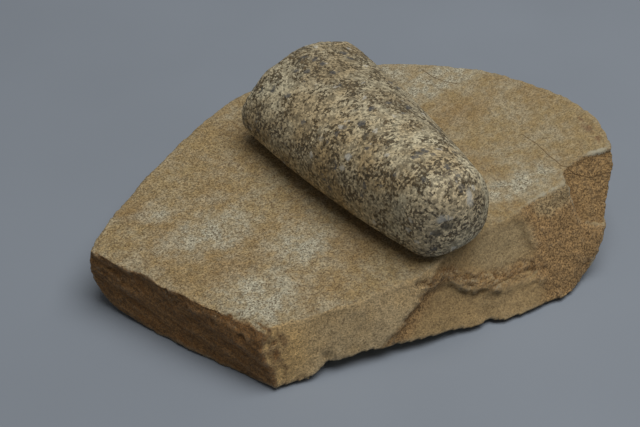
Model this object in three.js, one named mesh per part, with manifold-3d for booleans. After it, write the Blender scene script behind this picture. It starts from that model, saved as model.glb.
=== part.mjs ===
// Saddle quern: what is left of a boat-shaped sandstone quern, with the granite rubbing stone on it.
// Millimetres, +Z up. X runs along the quern and Y across it, towards the edge that is whole.
// The origin is on the surface that the quern stands on, under the middle of it.
import * as THREE from "three";
import { mergeVertices } from "three/addons/utils/BufferGeometryUtils.js";
import Module from "manifold-3d";

const { smoothstep, clamp, degToRad, lerp, mapLinear } = THREE.MathUtils;

// The whole quern, before it broke: a blunt oval in plan, wider towards +X.
const OVAL_CENTRE = [-26, -44];
const OVAL_HALF_LENGTH = 247.5;
const OVAL_HALF_WIDTH = 211.5;
const OVAL_TAPER = 0.273;
const OVAL_POWER = 1.577;
const OVAL_TURN = degToRad(-2.9);

// The grinding face is worn into a long hollow, lowest near the broken corner.
const THICKNESS = 54;
const HOLLOW_X = -150;
const HOLLOW_RISE = 2.78e-4;

// The sides stand upright under a worn rim, then turn under like a hull.
// HULL_START is the share of the height that the hull takes, and HULL_INSET how far in it goes.
const RIM_ROUND = 3.5;
const RIM_STEP = 30;
const HULL_START = 0.7;
const HULL_INSET = 0.213;
const HULL_STEP = 15;
const ROUND_THE_OVAL = 104;
const FACE_RINGS = [0.2, 0.4, 0.6, 0.8];
const UNDERSIDE_RING = 0.4;

// The broken left end: a nearly upright face from the near corner to the left corner.
const LEFT_INWARD = new THREE.Vector3(0.904, 0.4276, 0).normalize();
const LEFT_OFFSET = -181.5;
const BEDDING_DIP = Math.tan(degToRad(9.6));
const THIN_BEDS = { depth: 0.7, thickness: 3.6 };
const THICK_BEDS = { depth: 0.6, thickness: 8.3, waviness: 40 };
const LEFT_FOOT = { depth: 2, height: 30, width: 50 };
const LEFT_CHIPS = [
  { from: -93, to: -58, depth: 4.5 },
  { from: -56, to: -10, depth: 2.5 },
];
const LEFT_CHIP_HEIGHT = { from: 36, to: 54 };
const WORN_CORNER = { from: -16, to: 34, height: 43, fall: 12, depth: 12, sharpness: 1.6 };

// The long break along the front: X, Y of its top edge, and how far it leans out for each mm down.
const FRONT_BREAK = [
  [-170, -105, 0.38],
  [-150, -109.5, 0.36],
  [-104, -119.6, 0.28],
  [-70, -123, 0.36],
  [-9, -128, 0.44],
  [15, -121.5, 0.6],
  [60, -118, 0.73],
  [114, -114, 0.72],
  [151, -113, 0.66],
  [182, -114, 0.66],
  [206, -124, 0.66],
];

// The height of the front break's lower edge above the ground, where flakes have come off from below.
const LOWER_EDGE = [
  [-160, 4],
  [-121, 3],
  [-105, 6],
  [-96, 14],
  [-82, 11],
  [-61, 13],
  [-48, 10],
  [-12, 8],
  [12, 6],
  [60, 3],
  [240, 3],
];

// The scars of the front break, in mm along X and up Z. The ledge parts the upper flake from the lower.
const LEDGE = [
  [-20, 43],
  [21, 44],
  [36, 32],
  [63, 25],
  [120, 24],
];
const ARRIS = { lowX: -45, lowZ: 17, highX: 3, highZ: 50, width: 14 };
const LOWER_FLAKE = { depth: 7, from: 40, to: 110, edge: 4, runOut: 40, kept: 0.8 };
const UPPER_FLAKE = { depth: 4, from: 2, to: 34, fullness: 0.7 };
const FLAKE_ARC = { x: 98, bow: 6, lowZ: 32, rise: 34, edge: 4 };
const BACK_STEP = { from: 152, to: 157, height: 42, slope: 0.37 };
const WORN_EDGE = { from: 2, to: 98, depth: 2.5, height: 9 };
const LOWER_CHIP = { from: 35, to: 61, depth: 3.5, low: 8, high: 20 };
const NOTCH = { from: -101, to: -88, depth: 5, low: 16, high: 24 };
const TOE = { from: 116, to: 150, depth: 8, low: 2, high: 28 };
const LONG_SWELL = { depth: 0.8, along: 13, up: 17 };
const SHORT_SWELL = { depth: 0.6, along: 7.3, up: -9 };

// The corner that is gone from the right end.
const CORNER_INWARD = new THREE.Vector3(-0.8, 0.52, 0.3).normalize();
const CORNER_OFFSET = -201.5;
const CORNER_SWELL = { depth: 1.5, along: 15, upDepth: 1.2, up: 11 };

// Where the underside starts and stops rising towards the front, in mm ahead of the origin.
const SPALL = { from: 88, to: 145, below: 3 };

// The blocks that are cut away are this deep.
const BLOCK_DEPTH = 300;

// The rubbing stone, lying across the quern: it narrows towards the front end.
// Belly is the share of its height where it is widest, and the fullness numbers make it boxier.
const STONE_CENTRE = [27, -7];
const STONE_TURN = degToRad(2.4);
const STONE_LENGTH = 251;
const STONE_HALF_WIDTH = { front: 33, back: 65, leftBulge: 9.5, rightBulge: 6.5 };
const STONE_FULLNESS = { front: 2.2, backLeft: 1.72, backRight: 1.9 };
const STONE_HEIGHT = { front: 78, back: 72 };
const STONE_CREST_SHIFT = { front: -5, back: 5 };
const STONE_BELLY = 0.4;
const STONE_FLATNESS = 3.6;
const STONE_LOWER_ROUND = 2.6;
const STONE_NOSE = 20;
const STONE_BUTT = 15;
const STONE_GAP = 0.3;
const STONE_AROUND = 40;
const STONE_STATIONS = 18;
const STONE_END_RINGS = 5;
const STONE_END_HEIGHT = 0.25;

// How far the stones move, so that the origin is under the middle of them.
const MIDDLE_TO_ORIGIN = [0.3, -2, 0];

const SANDSTONE = { color: 0xb08d5f, roughness: 0.92, metalness: 0 };
const GRANITE = { color: 0xa89a80, roughness: 0.8, metalness: 0 };

const wasm = await Module();
wasm.setup();

// A number read off a list of [x, value, ...] rows, with straight lines between the rows.
function along(rows, x, column) {
  const next = rows.findIndex((row) => row[0] > x);
  if (next <= 0) return rows[next === 0 ? 0 : rows.length - 1][column];
  const [low, high] = [rows[next - 1], rows[next]];
  return mapLinear(x, low[0], high[0], low[column], high[column]);
}

// Raises a number to a power and keeps its sign.
function signedPower(value, power) {
  return Math.sign(value) * Math.abs(value) ** power;
}

// A smooth hump of height 1 between two ends.
function hump(x, from, to) {
  const t = clamp((x - from) / (to - from), 0, 1);
  return Math.sin(Math.PI * t) ** 2;
}

// A smooth slope from 1 down to 0 between two limits.
function fall(x, from, to) {
  return 1 - smoothstep(x, from, to);
}

function topHeight(x) {
  return THICKNESS + HOLLOW_RISE * (x - HOLLOW_X) ** 2;
}

// A closed skin through equal rings of points, with one point closing each end.
function loft(first, rings, last) {
  const around = rings[0].length;
  const end = 1 + rings.length * around;
  const at = (ring, i) => 1 + ring * around + (i % around);
  const index = [];
  for (let i = 0; i < around; i++) {
    index.push(0, at(0, i), at(0, i + 1));
    for (let ring = 0; ring < rings.length - 1; ring++) {
      const [a, b] = [at(ring, i), at(ring, i + 1)];
      const [c, d] = [at(ring + 1, i + 1), at(ring + 1, i)];
      index.push(a, d, c, a, c, b);
    }
    index.push(at(rings.length - 1, i + 1), at(rings.length - 1, i), end);
  }
  const geometry = new THREE.BufferGeometry();
  const points = [...first, ...rings.flat(2), ...last];
  geometry.setAttribute("position", new THREE.Float32BufferAttribute(points, 3));
  geometry.setIndex(index);
  return geometry;
}

// A solid for cutting, from a closed geometry.
function solidOf(geometry) {
  geometry.deleteAttribute("normal");
  geometry.deleteAttribute("uv");
  const merged = mergeVertices(geometry, 1e-3);
  const mesh = new wasm.Mesh({
    numProp: 3,
    vertProperties: new Float32Array(merged.attributes.position.array),
    triVerts: new Uint32Array(merged.index.array),
  });
  return new wasm.Manifold(mesh);
}

// A drawable geometry, from a solid that has been cut.
function geometryOf(solid) {
  const { vertProperties, triVerts } = solid.getMesh();
  const geometry = new THREE.BufferGeometry();
  geometry.setAttribute("position", new THREE.BufferAttribute(vertProperties, 3));
  geometry.setIndex(new THREE.BufferAttribute(triVerts, 1));
  geometry.computeVertexNormals();
  return geometry;
}

// The point of the oval rim at angle t, drawn in towards the middle by a scale.
function ovalPoint(t, scale) {
  const u = OVAL_HALF_LENGTH * signedPower(Math.cos(t), 2 / OVAL_POWER);
  const widening = 1 + (OVAL_TAPER * u) / OVAL_HALF_LENGTH;
  const v = OVAL_HALF_WIDTH * widening * signedPower(Math.sin(t), 2 / OVAL_POWER);
  const turned = new THREE.Vector2(u, v).rotateAround(new THREE.Vector2(), OVAL_TURN);
  return [OVAL_CENTRE[0] + scale * turned.x, OVAL_CENTRE[1] + scale * turned.y];
}

// The whole quern: rings go out over the worn face, down the side and in under the hull.
function wholeQuern() {
  const rimShare = RIM_ROUND / OVAL_HALF_WIDTH;
  const levels = [];
  for (const scale of FACE_RINGS) levels.push({ scale, drop: () => 0 });
  for (let turn = 0; turn <= 90; turn += RIM_STEP) {
    const angle = degToRad(turn);
    const scale = 1 - rimShare * (1 - Math.sin(angle));
    levels.push({ scale, drop: () => RIM_ROUND * (1 - Math.cos(angle)) });
  }
  for (let turn = 0; turn <= 90; turn += HULL_STEP) {
    const angle = degToRad(turn);
    const scale = 1 - HULL_INSET * (1 - Math.cos(angle));
    levels.push({ scale, drop: (top) => top * (1 - HULL_START * (1 - Math.sin(angle))) });
  }
  levels.push({ scale: UNDERSIDE_RING, drop: (top) => top });
  const rings = levels.map(({ scale, drop }) =>
    Array.from({ length: ROUND_THE_OVAL }, (_, i) => {
      const t = (2 * Math.PI * i) / ROUND_THE_OVAL;
      const [x, y] = ovalPoint(t, scale);
      const rimTop = topHeight(scale < 1 - rimShare ? ovalPoint(t, 1)[0] : x);
      const under = drop(rimTop);
      return [x, y, under > RIM_ROUND ? rimTop - under : topHeight(x) - under];
    }),
  );
  const [cx, cy] = OVAL_CENTRE;
  return solidOf(loft([cx, cy, topHeight(cx)], rings, [cx, cy, 0]));
}

// The stone that a break has taken away: a block whose near face follows face(x, z).
// The block stands on the plane through the origin that faces inward, moved along it by offset.
function brokenBlock({ inward, offset, size: [width, height], cell, face }) {
  const [across, up] = [Math.round(width / cell), Math.round(height / cell)];
  const block = new THREE.BoxGeometry(width, BLOCK_DEPTH, height, across, 1, up);
  const { position } = block.attributes;
  for (let i = 0; i < position.count; i++) {
    const [x, y, z] = [position.getX(i), position.getY(i), position.getZ(i)];
    position.setY(i, y > 0 ? offset + face(x, z) : offset - BLOCK_DEPTH);
  }
  const turn = new THREE.Quaternion().setFromUnitVectors(new THREE.Vector3(0, 1, 0), inward);
  block.applyQuaternion(turn);
  return solidOf(block);
}

// The left break shows the layers of the stone. Its top edge is chipped, and the near corner is worn.
function leftFace(x, z) {
  const layer = z + BEDDING_DIP * x;
  const thick = Math.sin(layer / THICK_BEDS.thickness + x / THICK_BEDS.waviness);
  const beds = THIN_BEDS.depth * Math.sin(layer / THIN_BEDS.thickness) + THICK_BEDS.depth * thick;
  const foot = LEFT_FOOT.depth * fall(z, 0, LEFT_FOOT.height) * fall(x, 0, LEFT_FOOT.width);
  const chips = LEFT_CHIPS.reduce((sum, { from, to, depth }) => sum + depth * hump(x, from, to), 0);
  const chipped = chips * smoothstep(z, LEFT_CHIP_HEIGHT.from, LEFT_CHIP_HEIGHT.to);
  const worn = WORN_CORNER.depth * smoothstep(x, WORN_CORNER.from, WORN_CORNER.to);
  const above = clamp((z - WORN_CORNER.height) / WORN_CORNER.fall, 0, 2);
  return beds - foot + chipped + worn * above ** WORN_CORNER.sharpness;
}

// The lower flake: deepest under the ledge, to the right of the arris.
function lowerFlake(x, z, ledge) {
  const below = ledge - z;
  const fromArris = x - mapLinear(z, ARRIS.lowZ, ARRIS.highZ, ARRIS.lowX, ARRIS.highX);
  const inside = smoothstep(below, 0, LOWER_FLAKE.edge) * smoothstep(fromArris, 0, ARRIS.width);
  const runningOut = 1 - LOWER_FLAKE.kept * smoothstep(below, LOWER_FLAKE.edge, LOWER_FLAKE.runOut);
  return LOWER_FLAKE.depth * inside * runningOut * fall(x, LOWER_FLAKE.from, LOWER_FLAKE.to);
}

// The upper flake: a shallow shell between the ledge and the rim, ending in an arc.
function upperFlake(x, z, ledge, top) {
  const share = clamp((z - ledge) / Math.max(top - ledge, 1), 0, 1);
  const up = clamp(z - FLAKE_ARC.lowZ, 0, FLAKE_ARC.rise) / FLAKE_ARC.rise;
  const arc = FLAKE_ARC.x + FLAKE_ARC.bow * Math.sin(Math.PI * up);
  const inside = smoothstep(x, UPPER_FLAKE.from, UPPER_FLAKE.to) * fall(x, arc - FLAKE_ARC.edge, arc);
  return UPPER_FLAKE.depth * Math.sin(Math.PI * share) ** UPPER_FLAKE.fullness * inside;
}

// How deep the flake scars and steps of the front break go behind its plain leaning face.
function frontScars(x, z) {
  const top = topHeight(x);
  const ledge = along(LEDGE, x, 1);
  const flakes = lowerFlake(x, z, ledge) + upperFlake(x, z, ledge, top);
  const aboveStep = BACK_STEP.slope * Math.max(0, z - BACK_STEP.height);
  const step = aboveStep * smoothstep(x, BACK_STEP.from, BACK_STEP.to);
  const nearRim = WORN_EDGE.depth * smoothstep(z, top - WORN_EDGE.height, top);
  const worn = nearRim * hump(x, WORN_EDGE.from, WORN_EDGE.to);
  const chips = [LOWER_CHIP, NOTCH].reduce(
    (sum, { from, to, depth, low, high }) => sum + depth * hump(x, from, to) * fall(z, low, high),
    0,
  );
  const toe = TOE.depth * smoothstep(x, TOE.from, TOE.to) * fall(z, TOE.low, TOE.high);
  return flakes + step + worn + chips + toe;
}

function frontFace(x, z) {
  const edge = along(FRONT_BREAK, x, 1);
  const lean = along(FRONT_BREAK, x, 2);
  const swell = [LONG_SWELL, SHORT_SWELL].reduce(
    (sum, { depth, along: run, up }) => sum + depth * Math.sin(x / run + z / up),
    0,
  );
  return edge - lean * (topHeight(x) - z) + frontScars(x, z) + swell;
}

function cornerFace(x, z) {
  const { depth, along: run, upDepth, up } = CORNER_SWELL;
  return depth * Math.sin(x / run) + upDepth * Math.sin(z / up + 1);
}

// The underside lifts off the ground along the front, where flakes have come off from below.
function spalledUnder(x, fromFront) {
  const lift = along(LOWER_EDGE, x, 1);
  return mapLinear(smoothstep(fromFront, SPALL.from, SPALL.to), 0, 1, -SPALL.below, lift);
}

function quernSlab() {
  const back = new THREE.Vector3(0, 1, 0);
  const up = new THREE.Vector3(0, 0, 1);
  const breaks = [
    { inward: LEFT_INWARD, offset: LEFT_OFFSET, size: [420, 160], cell: 6, face: leftFace },
    { inward: back, offset: 0, size: [520, 220], cell: 4, face: frontFace },
    { inward: CORNER_INWARD, offset: CORNER_OFFSET, size: [300, 300], cell: 10, face: cornerFace },
    { inward: up, offset: 0, size: [520, 360], cell: 10, face: spalledUnder },
  ];
  return breaks.reduce((stone, gap) => stone.subtract(brokenBlock(gap)), wholeQuern());
}

// One section of the rubbing stone: [side, height] points of a rounded D that stands on its flat.
function stoneSection(share, swell) {
  const { front, back, leftBulge, rightBulge } = STONE_HALF_WIDTH;
  const height = lerp(STONE_HEIGHT.front, STONE_HEIGHT.back, share);
  const crest = lerp(STONE_CREST_SHIFT.front, STONE_CREST_SHIFT.back, share);
  const belly = STONE_BELLY * height;
  return Array.from({ length: STONE_AROUND }, (_, i) => {
    const t = (2 * Math.PI * i) / STONE_AROUND;
    const [c, s] = [Math.cos(t), Math.sin(t)];
    const bulge = 4 * share * (1 - share) * (c < 0 ? leftBulge : rightBulge);
    const halfWidth = (lerp(front, back, share) + bulge) * swell;
    const { backLeft, backRight } = STONE_FULLNESS;
    const fullness = lerp(STONE_FULLNESS.front, c < 0 ? backLeft : backRight, share);
    const upper = s > 0;
    const up = upper ? (height - belly) * s ** (2 / fullness) : -belly * (-s) ** (2 / STONE_FLATNESS);
    const side = halfWidth * signedPower(c, 2 / (upper ? fullness : STONE_LOWER_ROUND));
    const lean = upper ? crest * s : 0;
    return [side + lean, belly + up * lerp(STONE_END_HEIGHT, 1, swell)];
  });
}

function rubbingStone() {
  const endStep = 90 / (STONE_END_RINGS + 1);
  const ends = Array.from({ length: STONE_END_RINGS }, (_, i) => degToRad(endStep * (i + 1)));
  const stations = [
    ...ends.map((turn) => [STONE_NOSE * (1 - Math.cos(turn)), Math.sin(turn)]),
    ...Array.from({ length: STONE_STATIONS }, (_, i) => [
      mapLinear(i, 0, STONE_STATIONS - 1, STONE_NOSE, STONE_LENGTH - STONE_BUTT),
      1,
    ]),
    ...ends
      .reverse()
      .map((turn) => [STONE_LENGTH - STONE_BUTT * (1 - Math.cos(turn)), Math.sin(turn)]),
  ];
  const place = (run, side, height) => {
    const flat = new THREE.Vector2(side, run - STONE_LENGTH / 2);
    flat.rotateAround(new THREE.Vector2(), STONE_TURN);
    const [x, y] = [STONE_CENTRE[0] + flat.x, STONE_CENTRE[1] + flat.y];
    const bed = topHeight(x) + STONE_GAP;
    const level = topHeight(STONE_CENTRE[0]) + STONE_GAP;
    const tilt = clamp(1 - height / STONE_HEIGHT.front, 0, 1);
    return [x, y, level + height + (bed - level) * tilt];
  };
  const rings = stations.map(([run, swell]) =>
    stoneSection(run / STONE_LENGTH, swell).map(([side, height]) => place(run, side, height)),
  );
  const tip = (run) => place(run, 0, STONE_BELLY * STONE_HEIGHT.front);
  return solidOf(loft(tip(0), rings, tip(STONE_LENGTH)));
}

const saddleQuern = new THREE.Group();
saddleQuern.position.fromArray(MIDDLE_TO_ORIGIN);
for (const [name, solid, finish] of [
  ["quern_slab", quernSlab(), SANDSTONE],
  ["rubbing_stone", rubbingStone(), GRANITE],
]) {
  const mesh = new THREE.Mesh(geometryOf(solid), new THREE.MeshStandardMaterial(finish));
  mesh.name = name;
  saddleQuern.add(mesh);
}

export default saddleQuern;
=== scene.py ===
# %% [markdown]
# A saddle quern is a slab of sandstone on which grain was ground by hand. This one is broken: a long
# flake scar runs along its front, its left end has snapped off, and the granite stone that rubbed the
# grain lies across it. The two stones come from a fixed CAD frame, which gives their true shapes.
# This script makes their surfaces. It starts by loading that frame, and keeps the frame's box.

# %% Load the fixed frame
import math

import bpy
import numpy as np
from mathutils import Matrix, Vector


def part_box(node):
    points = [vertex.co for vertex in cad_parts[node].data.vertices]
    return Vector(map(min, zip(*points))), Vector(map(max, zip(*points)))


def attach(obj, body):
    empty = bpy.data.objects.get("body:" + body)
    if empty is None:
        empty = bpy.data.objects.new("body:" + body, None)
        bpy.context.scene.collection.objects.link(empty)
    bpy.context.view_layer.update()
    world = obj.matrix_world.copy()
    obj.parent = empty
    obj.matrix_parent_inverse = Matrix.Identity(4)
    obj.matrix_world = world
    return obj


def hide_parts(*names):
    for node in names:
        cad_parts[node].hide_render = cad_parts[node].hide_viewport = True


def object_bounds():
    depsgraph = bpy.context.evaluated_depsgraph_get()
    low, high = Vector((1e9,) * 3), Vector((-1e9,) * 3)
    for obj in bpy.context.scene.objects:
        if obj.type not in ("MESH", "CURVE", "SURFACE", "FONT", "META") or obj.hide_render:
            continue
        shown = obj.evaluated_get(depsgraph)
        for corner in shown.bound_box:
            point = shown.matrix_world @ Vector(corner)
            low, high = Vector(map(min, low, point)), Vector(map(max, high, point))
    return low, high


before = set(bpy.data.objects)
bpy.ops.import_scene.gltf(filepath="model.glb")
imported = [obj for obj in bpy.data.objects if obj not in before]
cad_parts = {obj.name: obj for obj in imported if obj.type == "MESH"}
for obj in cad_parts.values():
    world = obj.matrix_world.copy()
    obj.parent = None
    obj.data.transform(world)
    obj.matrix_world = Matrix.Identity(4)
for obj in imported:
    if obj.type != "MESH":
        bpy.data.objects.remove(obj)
cad_box = [list(corner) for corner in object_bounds()]
MM = 0.001
print("CAD box in mm:", np.round(np.array(cad_box) / MM, 1).tolist())

# %% [markdown]
# Stone has no two places alike, but the script must make the same stone each time it runs. So the
# roughness comes from a hash: each cell of a grid gets a number that depends only on its place and a
# seed. For soft lumps the numbers are blended from corner to corner. For chips each point takes the
# small tilted facet of the nearest cell, which leaves sharp edges between them. Blender's own noise
# would also do, but this works on all the points of a mesh at once.

# %% Random lumps and chips that never change
HASH_STEPS = np.array([73856093, 19349663, 83492791], dtype=np.uint32)
HASH_MIX = np.uint32(1274126177)
SEED_STEP = 2654435
SEED_START = 97
CHIP_JITTER = 0.35


def hashed(cells, seed):
    """A number from -1 to 1 for each cell of the grid."""
    parts = cells.astype(np.uint32) * HASH_STEPS
    mixed = parts[:, 0] ^ parts[:, 1] ^ parts[:, 2] ^ np.uint32(seed * SEED_STEP + SEED_START)
    mixed = (mixed ^ (mixed >> np.uint32(15))) * HASH_MIX
    mixed = (mixed ^ (mixed >> np.uint32(13))) * HASH_MIX
    return (mixed ^ (mixed >> np.uint32(16))) / 2**31 - 1


def lumps(points, size, seed):
    """Smooth lumps, from -1 to 1, as large as size in mm: one number, or one for each axis."""
    scaled = points / np.asarray(size, dtype=float)
    cells = np.floor(scaled).astype(np.int64)
    inside = scaled - cells
    inside = inside * inside * (3 - 2 * inside)
    total = np.zeros(len(points))
    for corner in np.ndindex(2, 2, 2):
        weight = np.prod(np.where(corner, inside, 1 - inside), axis=1)
        total += weight * hashed(cells + corner, seed)
    return total


def rough(points, size, seed, octaves=3):
    """Lumps with smaller lumps on them, each set half the size and half the height."""
    size = np.asarray(size, dtype=float)
    return sum(lumps(points, size / 2**i, seed + i) / 2**i for i in range(octaves))


def chips(points, size, seed):
    """Flat chips with sharp edges between them, about as large as size in mm."""
    scaled = points / np.asarray(size, dtype=float)
    cells = np.floor(scaled).astype(np.int64)
    nearest = np.full(len(points), np.inf)
    height = np.zeros(len(points))
    for step in np.ndindex(3, 3, 3):
        cell = cells + step - 1
        random = [hashed(cell, seed + i) for i in range(7)]
        away = scaled - (cell + 0.5 + CHIP_JITTER * np.stack(random[:3], axis=1))
        distance = (away**2).sum(axis=1)
        level = random[3] + (np.stack(random[4:], axis=1) * away).sum(axis=1)
        height = np.where(distance < nearest, level, height)
        nearest = np.minimum(distance, nearest)
    return height


def smooth(values, low, high):
    """0 below low, 1 above high, and an even slope between. Low may be the larger."""
    t = np.clip((values - low) / (high - low), 0, 1)
    return t * t * (3 - 2 * t)


def hump(values, low, high):
    """A smooth hump of height 1 between low and high."""
    return np.sin(np.pi * np.clip((values - low) / (high - low), 0, 1)) ** 2


sample = np.random.default_rng(1).uniform(-200, 200, (1000, 3))
for kind in (lumps, chips):
    tried = kind(sample, size=10, seed=1)
    print(kind.__name__, "run from", tried.min().round(2), "to", tried.max().round(2))

# %% [markdown]
# Each stone starts as a copy of its CAD solid. The solid has flat facets, so the copy is remeshed with
# small even cells and smoothed a little: that rounds the facets away and leaves points close enough to
# carry real relief. The alternative, subdividing the solid, would keep its long thin triangles. Each
# round of smoothing draws the points together and then lets most of it out again, so the stone keeps
# its size.

# %% A fine, even skin for a stone
DRAW_IN = 0.6
LET_OUT = 0.55


def edge_list(mesh):
    edges = np.empty(len(mesh.edges) * 2, dtype=np.int64)
    mesh.edges.foreach_get("vertices", edges)
    return edges.reshape(-1, 2)


def points_of(mesh):
    """The mesh's points, in mm."""
    points = np.empty(len(mesh.vertices) * 3)
    mesh.vertices.foreach_get("co", points)
    return points.reshape(-1, 3) / MM


def move_points(mesh, points):
    mesh.vertices.foreach_set("co", (points * MM).ravel())
    mesh.update()


def normals_of(mesh):
    normals = np.empty(len(mesh.vertices) * 3)
    mesh.vertex_normals.foreach_get("vector", normals)
    return normals.reshape(-1, 3)


def neighbour_mean(values, edges):
    """The mean of each point's neighbours along the edges."""
    count = len(values)
    columns = values.reshape(count, -1)
    near = np.bincount(edges.ravel(), minlength=count)
    sums = [
        np.bincount(edges[:, 0], column[edges[:, 1]], count)
        + np.bincount(edges[:, 1], column[edges[:, 0]], count)
        for column in columns.T
    ]
    return (np.stack(sums, axis=1) / near[:, None]).reshape(values.shape)


def fine_copy(node, name, cell, rounds):
    """A new object with the shape of a CAD node, in even cells, its facets smoothed away."""
    rough_cut = bpy.data.objects.new(name + "_blank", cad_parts[node].data.copy())
    bpy.context.collection.objects.link(rough_cut)
    remesh = rough_cut.modifiers.new("even cells", "REMESH")
    remesh.mode = "VOXEL"
    remesh.voxel_size = cell * MM
    evaluated = rough_cut.evaluated_get(bpy.context.evaluated_depsgraph_get())
    mesh = bpy.data.meshes.new_from_object(evaluated)
    mesh.name = name
    bpy.data.objects.remove(rough_cut)
    edges = edge_list(mesh)
    points = points_of(mesh)
    for _ in range(rounds):
        points += DRAW_IN * (neighbour_mean(points, edges) - points)
        points -= LET_OUT * (neighbour_mean(points, edges) - points)
    move_points(mesh, points)
    mesh.shade_smooth()
    mesh.materials.clear()
    piece = bpy.data.objects.new(name, mesh)
    bpy.context.collection.objects.link(piece)
    print(name, "has", len(mesh.vertices), "points and", len(mesh.polygons), "faces")
    return piece


slab = fine_copy("quern_slab", "quern_slab_stone", cell=1.8, rounds=3)
rubber = fine_copy("rubbing_stone", "rubbing_stone_stone", cell=1.05, rounds=4)

# %% [markdown]
# The faces of the quern have different histories: the top was ground smooth, the left end and the front
# broke along and across the layers of the stone, and the sides were pecked into shape. To treat each in
# its own way, every point gets a share of each face, read from the way that it faces and from where it
# is. A vertex group painted by hand would do the same, but could not be made again by a script.

# %% Which face of the quern is which
def unit(*direction):
    """A direction with a length of 1."""
    return np.array(direction) / np.linalg.norm(direction)


LEFT_INWARD = unit(0.904, 0.4276, 0)
LEFT_OFFSET = -181.5
CORNER_OUTWARD = unit(0.8, -0.52, -0.3)
CORNER_OFFSET = 201.5
THICKNESS = 54
HOLLOW_X = -150
HOLLOW_RISE = 2.78e-4

# Each pair is where a share starts and where it is full. The first five are how far a normal turns that
# way, from 0 to 1. The last four are in mm: how deep a point lies inside a face, and for the front its Y.
TURNED_UP = (0.74, 0.93)
TURNED_DOWN = (0.45, 0.75)
TURNED_LEFT = (0.5, 0.75)
TURNED_TO_CORNER = (0.75, 0.92)
TURNED_TO_FRONT = (0.25, 0.5)
NEAR_TOP = (9, 4)
NEAR_LEFT = (24, 16)
NEAR_CORNER = (8, 4)
FRONT_Y = (-88, -96)


def top_height(x):
    """How high the grinding face is above the ground."""
    return THICKNESS + HOLLOW_RISE * (x - HOLLOW_X) ** 2


def from_left(points):
    """How far a point is inside the plane of the left break."""
    return points @ LEFT_INWARD - LEFT_OFFSET


def slab_faces(points, normals):
    """Each point's share of the grinding face, the two breaks, the lost corner and the underside."""
    x, y, z = points.T
    top = smooth(normals[:, 2], *TURNED_UP) * smooth(top_height(x) - z, *NEAR_TOP)
    left = smooth(-(normals @ LEFT_INWARD), *TURNED_LEFT) * smooth(from_left(points), *NEAR_LEFT)
    left *= 1 - top
    from_corner = CORNER_OFFSET - points @ CORNER_OUTWARD
    corner = smooth(normals @ CORNER_OUTWARD, *TURNED_TO_CORNER) * smooth(from_corner, *NEAR_CORNER)
    corner *= 1 - top
    under = smooth(-normals[:, 2], *TURNED_DOWN) * (1 - corner)
    front = smooth(-normals[:, 1], *TURNED_TO_FRONT) * smooth(y, *FRONT_Y)
    front *= (1 - top) * (1 - left) * (1 - corner) * (1 - under)
    sides = np.clip(1 - top - left - corner - under - front, 0, 1)
    return {"top": top, "left": left, "corner": corner, "under": under, "front": front, "sides": sides}


faces = slab_faces(points_of(slab.data), normals_of(slab.data))
print({name: f"{share.mean():.0%}" for name, share in faces.items()})

# %% [markdown]
# Two flakes came off the front, one above the other. A ledge of torn stone parts them, and an arris, the
# ridge where two scars meet, closes the lower scar on its left. At the right end a third scar is set
# back a little. The CAD solid has the ledge and the arris as plain folds. Here the torn stone is placed
# along them by distance, which is simpler than cutting it as a mesh of its own.

# %% Where the front break is torn
LEDGE = np.array([[-20, 43], [21, 44], [36, 32], [63, 25], [120, 24]])
LEDGE_LEFT = (-22, -8)
LEDGE_BAND = (-4, 17)
LEDGE_BAND_RIGHT = (118, 98)
LEDGE_FOOT = (-10, 5)
LEDGE_FOOT_RIGHT = (122, 102)
ARRIS_FOOT = (-45, 17)
ARRIS_LEAN = 48 / 33
ARRIS_BAND = (-5, 17)
ARRIS_TOP = (56, 46)
ARRIS_BOTTOM = (8, 18)
ARRIS_SHARE = 0.7
ARRIS_TO_LEDGE = (-30, -8)
RIGHT_SCAR_LEFT = np.array([[158, 42], [158, 46], [155, 52], [158, 62], [151, 79]])
RIGHT_SCAR_FOOT = np.array([[155, 46], [175, 43], [200, 38]])
RIGHT_SCAR_EDGE = (-1.5, 2)


def from_arris(points):
    """How far right of the arris that closes the lower flake scar on its left."""
    return points[:, 0] - (ARRIS_FOOT[0] + (points[:, 2] - ARRIS_FOOT[1]) * ARRIS_LEAN)


def above_ledge(points):
    return points[:, 2] - np.interp(points[:, 0], LEDGE[:, 0], LEDGE[:, 1])


def torn_band(points):
    """How much a point belongs to the torn stone along the arris and above the ledge."""
    x, z = points[:, 0], points[:, 2]
    ledge = hump(above_ledge(points), *LEDGE_BAND) * smooth(x, *LEDGE_LEFT) * smooth(x, *LEDGE_BAND_RIGHT)
    arris = hump(from_arris(points), *ARRIS_BAND) * smooth(z, *ARRIS_TOP) * smooth(z, *ARRIS_BOTTOM)
    return np.maximum(ledge, ARRIS_SHARE * arris)


def ledge_foot(points):
    """How much a point belongs to the broken line where the ledge meets the lower flake scar."""
    x = points[:, 0]
    return hump(above_ledge(points), *LEDGE_FOOT) * smooth(x, *LEDGE_LEFT) * smooth(x, *LEDGE_FOOT_RIGHT)


def right_scar(points):
    """How much a point lies in the flake scar at the right end, which is set back from the front."""
    x, z = points[:, 0], points[:, 2]
    from_side = x - np.interp(z, RIGHT_SCAR_LEFT[:, 1], RIGHT_SCAR_LEFT[:, 0])
    from_below = z - np.interp(x, RIGHT_SCAR_FOOT[:, 0], RIGHT_SCAR_FOOT[:, 1])
    inside = np.minimum(from_side, from_below) + 1.5 * lumps(points, size=7, seed=25)
    return smooth(inside, *RIGHT_SCAR_EDGE)


points = points_of(slab.data)
print(f"torn stone: {(torn_band(points) * faces['front'] > 0.1).mean():.1%} of the quern's points")

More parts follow.
